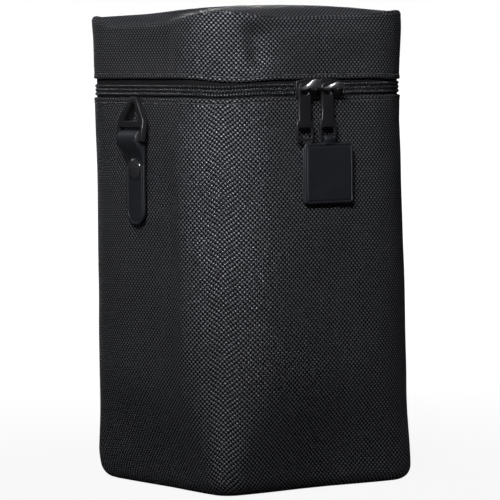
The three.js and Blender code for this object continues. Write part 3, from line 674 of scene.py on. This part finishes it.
# Zip: two woven tapes, each with a nylon coil sewn along its edge. The coils' loops lock where they
# meet. The chain runs from one end of the hinge round the front to the other.
hinge_half_width = 46
hinge_half = np.arctan2(hinge_half_width, mouth_form["width"] / 2)
zip_angles = np.linspace(np.pi / 2 + hinge_half, 2.5 * np.pi - hinge_half, 320)
chain_half, tape_width, loop_pitch = 0.6, 15, 1.5
tape_ways, tape_depths = column([0, 3, 9, 15, 15, 9, 3, 0]), column([1.2] * 4, [1.8] * 4)
# The zip tape's weave gets the same painted light: the colour of its lit floats and of its shaded
# floats.
tape_lit_weft, tape_shaded_warp = (0.008, 0.008, 0.0088), (0.003, 0.003, 0.0034)
tape_finish = woven_nylon("zip tape", tape_lit_weft, tape_shaded_warp, (0.35, 0.5), 0.08, 0.75, 0.2)
for name, start, body, node in [
    ("tape_lower", zip_height - chain_half - tape_width, "body", "zip_tape_lower"),
    ("tape_upper", zip_height + chain_half, "lid", "zip_tape_upper"),
]:
    tape_heights = start + tape_ways + edge_drift(zip_angles, zip_height)
    tape_insets = tape_depths + 0 * zip_angles
    if body == "lid":
        tape_insets = tape_insets - np.minimum(lid_slack(zip_angles, tape_heights), 0)
    tape = wrapped(name, tape_heights, tape_insets, zip_angles, False)
    tape.data.materials.append(tape_finish)
    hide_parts(node)
    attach(tape, body)


def way_round(height, inset, start, end):
    """The wall's line at a height and inset between two angles: its fine angles, its points, and
    the length of the way up to each."""
    fine = np.linspace(start, end, 4000)
    reach = wall_reach(fine, height, inset)
    line = np.column_stack([reach * np.cos(fine), reach * np.sin(fine)])
    steps = np.linalg.norm(np.diff(line, axis=0), axis=1)
    return fine, line, np.concatenate([[0], np.cumsum(steps)])


def stations(line, run, along):
    """Points of the line at lengths along it, and the unit ways ahead and outward there."""
    places, ends = [
        np.stack([np.interp(length, run, line[:, k]) for k in range(2)], axis=-1)
        for length in (along, along + 0.1)
    ]
    ahead = ends - places
    ahead /= np.linalg.norm(ahead, axis=-1)[..., None]
    return places, ahead, np.stack([ahead[..., 1], -ahead[..., 0]], axis=-1)


def rods(name, points, mirrored):
    """Small closed rods as one piece, from points in rods, rings along a rod and points round a
    ring: four-sided faces from each ring to the next and a flat one at each end."""
    count, rings, sides = points.shape[:3]
    ring = np.arange(sides)
    after, start = (ring + 1) % sides, sides * np.arange(rings - 1)[:, None]
    walls = [start + ring, start + after, start + sides + after, start + sides + ring]
    quads = np.stack(walls, axis=-1).reshape(-1, 4)
    ends = np.array([ring[::-1], ring + sides * (rings - 1)])
    if mirrored:
        quads, ends = quads[:, ::-1], ends[:, ::-1]
    first = (rings * sides * np.arange(count))[:, None, None]
    faces = (first + quads).reshape(-1, 4).tolist() + (first + ends).reshape(-1, sides).tolist()
    return new_piece(name, points, faces)


def coil_loops(name, side):
    """One coil's loops. Each is a bent rod from the tape to the head that locks, thicker at its
    head; its rings are carried along an arc that stands out from the tape and leans along the
    chain."""
    fine, line, run = way_round(zip_height, 0.8, zip_angles[0], zip_angles[-1])
    starts = np.arange(0.8, run[-1] - 0.8, loop_pitch) + (0 if side > 0 else loop_pitch / 2)
    places, ahead, outward = stations(line, run, starts)
    rise = column([2.9, 2.75, 2.35, 1.75, 1.3, 0.95, 0.45, -0.1, -0.5])
    stand = column([-0.5, -0.25, 0.0, 0.08, -0.15, -0.35, 0.0, 0.02, -0.3])
    half = column([0.1, 0.6, 0.71, 0.71, 0.6, 0.4, 0.5, 0.48, 0.1])
    depth = column([0.1, 0.35, 0.5, 0.5, 0.4, 0.35, 0.5, 0.42, 0.1])
    turn = np.radians([20, 60, 120, 160, 200, 250, 290, 340])
    along = (0.10 * (1.5 - rise) + half * np.cos(turn) / 0.94)[None, ..., None]
    out = (stand + depth * np.sin(turn))[None, ..., None]
    flat = places[:, None, None] + along * ahead[:, None, None] + out * outward[:, None, None]
    sag = edge_drift(np.interp(starts, run, fine), zip_height)
    heights = (zip_height + sag)[:, None, None] + side * (rise + 0 * turn)
    return rods(name, np.concatenate([flat, heights[..., None]], axis=-1), side < 0)


def hard_finish(name, colour, metal, roughness, grain, relief, wear, specular=0.5):
    """A hard finish, painted, cast or moulded: faint mottling in its roughness, a fine bump at a
    grain size in mm, and paler patches of wear nine grains wide."""
    finish, tree, surface = new_finish(name, {"Metallic": metal, "Specular IOR Level": specular})
    fine, broad = noise_at(tree, 1000 / grain, 3), noise_at(tree, 1000 / (grain * 9), 3)
    rough = mixed(tree, broad, roughness * 0.75, roughness * 1.25)
    coated(tree, surface, broad, colour, [wear * c for c in colour], rough, fine, relief)
    return finish


coil_finish = hard_finish("nylon coil", (0.005, 0.0052, 0.0062), 0, 0.30, 0.9, 0.006, 1.4, 0.25)
for name, side, body, node in [
    ("coil_lower", -1, "body", "zip_coil_lower"),
    ("coil_upper", 1, "lid", "zip_coil_upper"),
]:
    coil = coil_loops(name, side)
    coil.data.materials.append(coil_finish)
    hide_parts(node)
    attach(coil, body)

# Hinge: a strip of the nylon across the back, caught between cloth and padding above and below,
# in the gap where the zip's ends stop.
hinge_angles = np.linspace(np.pi / 2 - hinge_half + 0.004, np.pi / 2 + hinge_half - 0.004, 90)
hinge_low, hinge_high = 178.1, 209.3
hinge_rows = np.linspace(hinge_low, hinge_high, 40)
hinge_heights = column(hinge_rows, hinge_rows[::-1])
hinge_insets = column(np.full(40, 1.2), np.full(40, 1.8))
hinge_cloth = wrapped("hinge_cloth", hinge_heights, hinge_insets, hinge_angles, False)
hinge_cloth.data.materials.append(nylon)
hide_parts("hinge_strip_lower", "hinge_strip_upper")
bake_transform(hinge_cloth)

# Stitches: a row of lock stitches in black bonded thread beside each turned edge, one long grain of
# thread after another, each sunk at its ends.
stitch_pitch, stitch_length = 3.0, 2.5


def stitch_row(name, height):
    """Stitches round the bag at a height: rods whose rings swell in the middle and sink at the
    ends."""
    _, line, run = way_round(height, 0, np.pi / 2, 2.5 * np.pi)
    count = int(run[-1] / stitch_pitch)
    middles = (np.arange(count)[:, None] + 0.5) * run[-1] / count
    along = middles + np.linspace(-0.5, 0.5, 6) * stitch_length
    places, _, outward = stations(line, run, along)
    swell = column([0.08, 0.2, 0.24, 0.24, 0.2, 0.08])
    sink = column([-0.3, 0.02, 0.12, 0.12, 0.02, -0.3])
    turn = np.linspace(0, 2 * np.pi, 6, endpoint=False)
    out = (sink + swell * np.cos(turn))[None, ..., None]
    flat = places[:, :, None] + out * outward[:, :, None]
    level = height + edge_drift(np.arctan2(places[..., 1], places[..., 0]), height)
    heights = level[..., None] + swell * np.sin(turn)
    return rods(name, np.concatenate([flat, heights[..., None]], axis=-1), True)


thread_finish = soft_finish("bonded thread", (0.03, 0.03, 0.033), 0.3, 0.03, 0.5, 0)
for name, height, body in [
    ("bag_stitches", body_top - stitch_line, "body"),
    ("lid_stitches", lid_bottom + stitch_line, "lid"),
]:
    stitches = stitch_row(name, height)
    stitches.data.materials.append(thread_finish)
    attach(stitches, body)

# Sliders: zinc castings finished in black. Each has a plate in front of the chain and one behind
# it, a wedge between them, and an arched crown whose two feet stand on the front plate.
coil_front = -65.1
plate_back, plate_front, rear_front = coil_front - 0.4, coil_front - 1.6, -61.7
pull_front, crown_front = -69.7, -74.2
plate_thick, slider_half, wedge_width = 1.2, 6.4, 4
slider_centres = {"left": -11.8, "right": 1.8}


def faced_out(mesh, merged=0):
    """Turns a closed mesh's faces outward, after points nearer than a distance in metres are
    merged."""
    shell = bmesh.new()
    shell.from_mesh(mesh)
    if merged:
        bmesh.ops.remove_doubles(shell, verts=shell.verts, dist=merged)
    bmesh.ops.recalc_face_normals(shell, faces=shell.faces)
    shell.to_mesh(mesh)
    shell.free()


def lofted(name, rows, ends=True):
    """A closed piece from rows of points round it, in mm: four-sided faces from each row to the
    next, and a flat one on the first and last row, or, without ends, faces from the last row to the
    first."""
    index = np.arange(rows.shape[0] * rows.shape[1]).reshape(rows.shape[:2])
    caps = [index[0].tolist(), index[-1][::-1].tolist()] if ends else []
    if not ends:
        index = np.concatenate([index, index[:1]])
    after = np.roll(index, -1, axis=1)
    quads = np.stack([index[:-1], index[1:], after[1:], after[:-1]], axis=-1).reshape(-1, 4)
    piece = new_piece(name, rows, quads.tolist() + caps)
    faced_out(piece.data)
    return piece


def moved_points(mesh, way):
    """Moves a mesh's points: way takes their x, y and z, in metres, and gives the new ones."""
    flat = np.empty(len(mesh.vertices) * 3)
    mesh.vertices.foreach_get("co", flat)
    mesh.vertices.foreach_set("co", np.column_stack(way(*flat.reshape(-1, 3).T)).ravel())


def cast_plate(name, outlines, front, depth, edge):
    """A flat piece parallel to the front, from closed outlines in X and Z, the first its rim and
    the rest its holes, with edges rounded to a radius. front is the Y of its front face."""
    curve = bpy.data.curves.new(name, "CURVE")
    curve.dimensions, curve.fill_mode = "2D", "BOTH"
    for outline in outlines:
        spline = curve.splines.new("POLY")
        spline.points.add(len(outline) - 1)
        places = np.column_stack([outline / 1000, np.zeros(len(outline)), np.ones(len(outline))])
        spline.points.foreach_set("co", places.ravel())
        spline.use_cyclic_u = True
    curve.extrude = (depth / 2 - edge) / 1000
    curve.bevel_depth, curve.bevel_resolution = edge / 1000, 3
    curve.offset = -edge / 1000
    shape = placed(name + "_outline", curve)
    bpy.context.view_layer.update()
    finished = shape.evaluated_get(bpy.context.evaluated_depsgraph_get())
    mesh = bpy.data.meshes.new_from_object(finished)
    bpy.data.objects.remove(shape)
    bpy.data.curves.remove(curve)
    mesh.name = name
    moved_points(mesh, lambda x, y, z: (x, (front + depth / 2) / 1000 - z, y))
    faced_out(mesh, merged=1e-7)
    mesh.polygons.foreach_set("use_smooth", np.ones(len(mesh.polygons), bool))
    mesh.set_sharp_from_angle(angle=np.radians(50))
    mesh.materials.clear()
    return placed(name, mesh)


def rounded(left, right, low, high, radius, steps=6):
    """A rectangle with rounded corners, as points in X and Z; radius may be one for each corner."""
    radii = np.broadcast_to(radius, 4)
    centres = [
        (right - radii[0], low + radii[0], -np.pi / 2),
        (right - radii[1], high - radii[1], 0),
        (left + radii[2], high - radii[2], np.pi / 2),
        (left + radii[3], low + radii[3], np.pi),
    ]
    turn = np.linspace(0, np.pi / 2, steps)
    corners = [
        np.column_stack([x + r * np.cos(start + turn), z + r * np.sin(start + turn)])
        for (x, z, start), r in zip(centres, radii)
    ]
    return np.concatenate(corners)


def joined(name, parts):
    """Several meshes made one piece."""
    whole = bmesh.new()
    for part in parts:
        whole.from_mesh(part.data)
        bpy.data.objects.remove(part)
    mesh = bpy.data.meshes.new(name)
    whole.to_mesh(mesh)
    whole.free()
    return placed(name, mesh)


def crown_arch(name, centre, tall_middle, lift):
    """The crown: a bar of metal bent forward and up from one foot to the other. Its section grows
    to the middle and is flat on the upper front, where it slopes back, and round below."""
    share = np.linspace(0, 1, 33)
    swing, ahead_share = np.sin(np.pi * share), np.cos(np.pi * share)
    x = centre - 4.7 * ahead_share * (0.82 + 0.18 * np.abs(ahead_share))
    tall = 0.8 + (tall_middle - 0.8) * swing**1.6
    thick = 0.6 + 0.7 * swing**1.2
    y = plate_front + 0.3 + (crown_front + thick - plate_front - 0.3) * swing**0.45
    ahead = np.column_stack([np.gradient(x), np.gradient(y)])
    ahead /= np.linalg.norm(ahead, axis=1)[:, None]
    round_x = np.array([-0.4, 0.1, 0.6, 0.92, 1.0, 0.9, 0.6, 0.15, -0.4, -0.8, -1, -1, -1, -0.8])
    round_z = [-0.86, -0.95, -0.8, -0.5, -0.15, 0.1, 0.4, 0.72, 1.0, 1.0, 0.7, 0.2, -0.3, -0.65]
    rows = [
        x[:, None] - ahead[:, 1:] * thick[:, None] * round_x,
        y[:, None] + ahead[:, :1] * thick[:, None] * round_x,
        zip_height + lift * swing[:, None] ** 1.7 + tall[:, None] * np.array(round_z),
    ]
    piece = lofted(name, np.stack(rows, axis=-1))
    piece.data.polygons.foreach_set("material_index", np.ones(len(piece.data.polygons), np.int32))
    return piece


black_metal = hard_finish("black nickel", (0.30, 0.30, 0.31), 1.0, 0.40, 1.5, 0.01, 1.2)
dark_metal = hard_finish("black enamel", (0.006, 0.006, 0.007), 0, 0.34, 1.2, 0.01, 1.3)
for hand, head, tall_middle, lift in [("left", 1, 2.1, 2.6), ("right", -1, 1.5, 1.7)]:
    centre = slider_centres[hand]
    tail, nose = centre - head * slider_half, centre + head * slider_half
    upper = [[nose, 2.8], [nose - head * 0.6, 4.2], [nose - head * 2.2, 5.0]]
    upper = np.array(upper + [[nose - head * 4.4, 5.0], [tail, 3.7]])
    outline = np.concatenate([upper[::-1] * [1, -1], upper]) + [0, zip_height]
    wedge_left = nose - wedge_width if head > 0 else nose
    wedge = rounded(wedge_left, wedge_left + wedge_width, zip_height - 0.3, zip_height + 0.3, 0.2)
    parts = [
        cast_plate("front", [outline], plate_front, plate_thick, 0.4),
        cast_plate("rear", [outline], rear_front, plate_thick, 0.4),
        cast_plate("wedge", [wedge], plate_back - 0.4, 4.6, 0.1),
        crown_arch("crown", centre, tall_middle, lift),
    ]
    slider = joined("slider_" + hand + "_casting", parts)
    slider.data.materials.append(dark_metal)
    slider.data.materials.append(black_metal)
    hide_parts("slider_" + hand)
    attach(slider, "slider_" + hand)

# Pulls: flat black castings that hang from the crowns, with an eye round the crown's left foot and
# a window over the bar at the lower end.
pull_low, pull_high, pull_shift = 168.75, 196.55, 3.65
for hand, centre in slider_centres.items():
    middle = centre - pull_shift
    turn = np.linspace(0, np.pi / 2, 7)
    waist, neck_low, shoulder = pull_low + 7.0, pull_high - 8.0, pull_high - 3.0
    right_side = np.concatenate(
        [
            rounded(middle - 5, middle + 5, pull_low, pull_low + 4, 1.5)[:6],
            [[middle + 5, waist]],
            np.column_stack([middle + 3.5 + 1.5 * np.cos(turn), waist + 3.0 * np.sin(turn)])[1:],
            [[middle + 3.45, neck_low], [middle + 3.65, neck_low + 1.8]],
            [[middle + 3.7, shoulder - 0.2]],
            np.column_stack([middle + 0.9 + 2.8 * np.cos(turn), shoulder + 3.0 * np.sin(turn)]),
        ]
    )
    left_side = right_side[::-1] * [-1, 1] + [2 * middle, 0]
    rim = np.concatenate([right_side, left_side])
    eye_radii, window_radii = [1.9, 1.6, 1.6, 1.9], [1.0, 0.6, 0.6, 1.0]
    eye = rounded(middle - 2.2, middle + 2.2, pull_high - 6.1, pull_high - 1.5, eye_radii)
    window = rounded(middle - 3.7, middle + 3.7, pull_low + 1.3, pull_low + 6.5, window_radii)
    outlines = [rim, eye, window]
    pull = cast_plate("pull_" + hand + "_casting", outlines, pull_front, plate_thick, 0.35)
    pull.data.materials.append(dark_metal)
    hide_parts("pull_" + hand)
    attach(pull, "pull_" + hand)

# Tag: a square of smooth black leather in two layers, edge-painted, with a pressed line inside its
# edge. A neck of the front layer loops round the bar of the right pull.
tag_middle, tag_top, tag_size, tag_front_y = -1.95, 167.65, 28.8, -70.45
bar_y, bar_z = -69.1, 169.4


def pressed_plate(name, left, right, low, high, radii, front, depth, line):
    """A leather plate with a rounded edge and a pressed line at a distance inside it: its outline
    is drawn in by a row of distances, and each row has its own depth."""
    edge, turn = 0.55, np.linspace(0, np.pi / 2, 5)
    pressed = line + np.array([-0.35, -0.2, 0, 0.2, 0.35])
    shrink = np.linspace(4.0, min(right - left, high - low) / 2 - 0.05, 6)
    distances = np.concatenate([edge * (1 - np.cos(turn)), pressed, [2.6], shrink])
    falls = np.concatenate([edge * (1 - np.sin(turn)), [0.0, 0.08, 0.3, 0.08, 0.0], np.zeros(7)])
    radii = np.broadcast_to(radii, 4)
    rings = [
        rounded(left + d, right - d, low + d, high - d, np.clip(radii - d, 0.04, None), steps=8)
        for d in distances
    ]
    rows = [(ring, front + depth - fall) for ring, fall in zip(rings[4::-1], falls[4::-1])]
    rows += [(ring, front + fall) for ring, fall in zip(rings, falls)]
    rows = [np.column_stack([ring[:, 0], np.full(len(ring), y), ring[:, 1]]) for ring, y in rows]
    plate = lofted(name, np.stack(rows))
    plate.data.set_sharp_from_angle(angle=np.radians(60))
    return plate


# Smooth finished leather: a fine pebble of cells with creases between them, and slow changes of
# tone and gleam.
leather, leather_tree, leather_body = new_finish("black leather", {"Specular IOR Level": 0.35})
leather_spot = leather_tree.nodes.new("ShaderNodeTexCoord").outputs["Object"]
cells = {"feature": "DISTANCE_TO_EDGE", "Scale": 1600, "Vector": leather_spot}
pebble = wired(leather_tree, "ShaderNodeTexVoronoi", cells).outputs["Distance"]
creases = maths(leather_tree, "MINIMUM", pebble, 0.12)
haze = noise_at(leather_tree, 120, 4)
dark, light = [[part * c for c in (0.0058, 0.0064, 0.0088)] for part in (0.75, 1.3)]
leather_rough = mixed(leather_tree, haze, 0.43, 0.57)
coated(leather_tree, leather_body, haze, dark, light, leather_rough, creases, 0.05)

tag_box = (tag_middle - tag_size / 2, tag_middle + tag_size / 2, tag_top - tag_size)
tag_face = pressed_plate("tag_face", *tag_box, tag_top, 1.6, tag_front_y, 1.2, 1.3)
neck_turn = np.linspace(0, 2 * np.pi, 28, endpoint=False)
neck_y, neck_z = np.cos(neck_turn), np.sin(neck_turn)
neck_rows = [
    np.column_stack([x + tag_middle + 0 * neck_y, bar_y + r * neck_y, bar_z + r * neck_z])
    for x, r in [(-3.0, 1.25), (-3.0, 1.7), (-2.8, 1.86), (2.8, 1.86), (3.0, 1.7), (3.0, 1.25)]
]
neck = lofted("neck", np.stack(neck_rows), ends=False)
root = rounded(tag_middle - 3, tag_middle + 3, tag_top - 1.2, bar_z - 0.9, 0.3)
neck_root = cast_plate("neck_root", [root], tag_front_y, 1.2, 0.15)
tag_front = joined("tag_front_leather", [tag_face, neck, neck_root])
tag_back = pressed_plate("tag_back_leather", *tag_box, tag_top - 1.3, 1.6, -68.95, 1.15, 1.3)
for piece, node in [(tag_front, "tag_front"), (tag_back, "tag_back")]:
    piece.data.materials.append(leather)
    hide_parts(node)
    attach(piece, "tag")

# Lugs: on each side a leather strap is riveted through the wall to a washer, with a pressed line
# inside its edge. Its upper end folds round the lower bar of a moulded ring, shaped like a letter
# A, for a snap hook.
ring_z, ring_x = 170.2, 71.0
ring_half, ring_bar, ring_limb, ring_thick = 10.8, 2, 3.2, 3
lug_shift, ring_lean = 0.003, np.radians(9)
strap_half, strap_low, strap_top, strap_front, rivet_z = 7.5, 128.8, 164.0, -69.0, 156.2
ring_plastic = hard_finish("moulded plastic", (0.004, 0.004, 0.0045), 0, 0.34, 2.0, 0.01, 1.4)
rivet_finish = hard_finish("gloss black cap", (0.012, 0.012, 0.013), 0, 0.12, 2.0, 0.004, 1.3)


def turned_about(piece, hand, lean=0):
    """Turns a piece drawn on the front to the left or right side, 3 mm forward of its middle, and
    leans it back to the cloth by an angle about the ring's bar."""
    way = 1 if hand == "left" else -1

    def place(x, y, z):
        """The lean turns a point's Y and Z about the bar; the side then takes Y as X and X as Y."""
        out, up = y + ring_x / 1000, z - ring_z / 1000
        y = out * np.cos(lean) + up * np.sin(lean) - ring_x / 1000
        z = up * np.cos(lean) - out * np.sin(lean) + ring_z / 1000
        return way * y, -way * x - lug_shift, z

    moved_points(piece.data, place)
    piece.data.update()
    return piece


def strap_fold(name):
    """The strap's folded end: a line in Y and Z that rises from the strap, swells round the ring's
    bar and comes down behind, carried across the strap's width, which draws in a little at its
    edges."""
    bend_y = [-68.9, -69.0, -69.8, -71.6, -73.3, -74.1, -74.2, -73.5, -72.2, -71.0, -69.6, -68.4]
    bend_z = [157.5, 160.0, 162.6, 164.8, 166.8, 169.0, 171.0, 173.0, 174.3, 174.6, 174.2, 172.8]
    bend_y, bend_z = bend_y + [-67.8, -67.5, -67.45, -67.4], bend_z + [170.8, 168.0, 163.0, 157.5]
    bend = np.column_stack([bend_y, bend_z])
    share = column([-1, -0.985, -0.94, -0.85, -0.5, 0, 0.5, 0.85, 0.94, 0.985, 1])
    shrink = column([0.72, 0.45, 0.18, 0.04, 0, 0, 0, 0.04, 0.18, 0.45, 0.72])
    away = bend - [-70.2, 167.5]
    inward = bend - away / np.linalg.norm(away, axis=1)[:, None] * shrink[..., None]
    width = strap_half + 0.9 * ease((bend[:, 1] - 160) / 8)
    return lofted(name, np.concatenate([(share * width)[..., None], inward], axis=-1))


def turned_button(name, profile, height, bored=False):
    """A round piece about an axis through the front: its profile of radius and Y is turned all
    round. The profile of a bored one closes on itself."""
    turn = np.linspace(0, 2 * np.pi, 40, endpoint=False)
    radius, depth = np.array(profile).T[..., None]
    rows = [radius * np.cos(turn), depth + 0 * turn, height + radius * np.sin(turn)]
    return lofted(name, np.stack(rows, axis=-1), ends=not bored)


for hand in ("left", "right"):
    strap_radii = [7.45, 0.5, 0.5, 7.45]
    strap_box = (-strap_half, strap_half, strap_low, strap_top)
    plate = pressed_plate("plate", *strap_box, strap_radii, strap_front, 1.6, 1.4)
    strap = joined("strap_" + hand, [plate, strap_fold("fold")])
    strap.data.materials.append(leather)
    turned_about(strap, hand)
    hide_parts("lug_strap_" + hand)
    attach(strap, "body")

    low, shoulder, top, crossbar = ring_z - 1, ring_z + 9.0, ring_z + 20.6, ring_z + 5.6
    ring_rim = [[-ring_half, low], [ring_half, low], [ring_half, shoulder], [2.0, top]]
    ring_rim += [[-2.0, top], [-ring_half, shoulder]]
    slot_half, slot_low = ring_half - ring_bar, low + ring_bar
    slot_hole = [[-slot_half, slot_low], [slot_half, slot_low]]
    slot_hole += [[slot_half, crossbar], [-slot_half, crossbar]]
    window_low, window_top = crossbar + ring_limb, top - ring_limb
    window = [[-6.8, window_low], [6.8, window_low], [1.0, window_top], [-1.0, window_top]]
    outlines = [np.array(outline) for outline in (ring_rim, slot_hole, window)]
    ring = cast_plate("ring_" + hand + "_moulding", outlines, -72.5, ring_thick, 0.45)
    ring.data.materials.append(ring_plastic)
    turned_about(ring, hand, ring_lean)
    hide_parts("lug_ring_" + hand)
    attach(ring, "ring_" + hand)

    dome = [(0.02, -70.8), (1.2, -70.76), (2.4, -70.62), (3.4, -70.38), (4.2, -70.05)]
    rim = [(4.8, -69.65), (5.15, -69.3), (5.25, -69.1), (5.15, -69.0)]
    shank = [(1.5, -69.0), (1.5, -64.3), (0.02, -64.2)]
    rivet = turned_button("rivet_" + hand, dome + rim + shank, rivet_z)
    rivet.data.materials.append(rivet_finish)
    turned_about(rivet, hand)
    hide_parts("lug_rivet_" + hand)
    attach(rivet, "body")

    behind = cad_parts["lug_washer_" + hand]
    reach = 1000 * np.abs((np.array(behind.matrix_world)[:3, :3] @ np.array(behind.bound_box).T)[0])
    rim = [(1.7, -reach.max()), (4.0, -reach.max()), (4.0, -reach.min()), (1.7, -reach.min())]
    washer = turned_button("washer_" + hand, rim, rivet_z, bored=True)
    washer.data.polygons.foreach_set("use_smooth", np.zeros(len(washer.data.polygons), bool))
    washer.data.materials.append(dark_metal)
    turned_about(washer, hand)
    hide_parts("lug_washer_" + hand)
    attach(washer, "body")
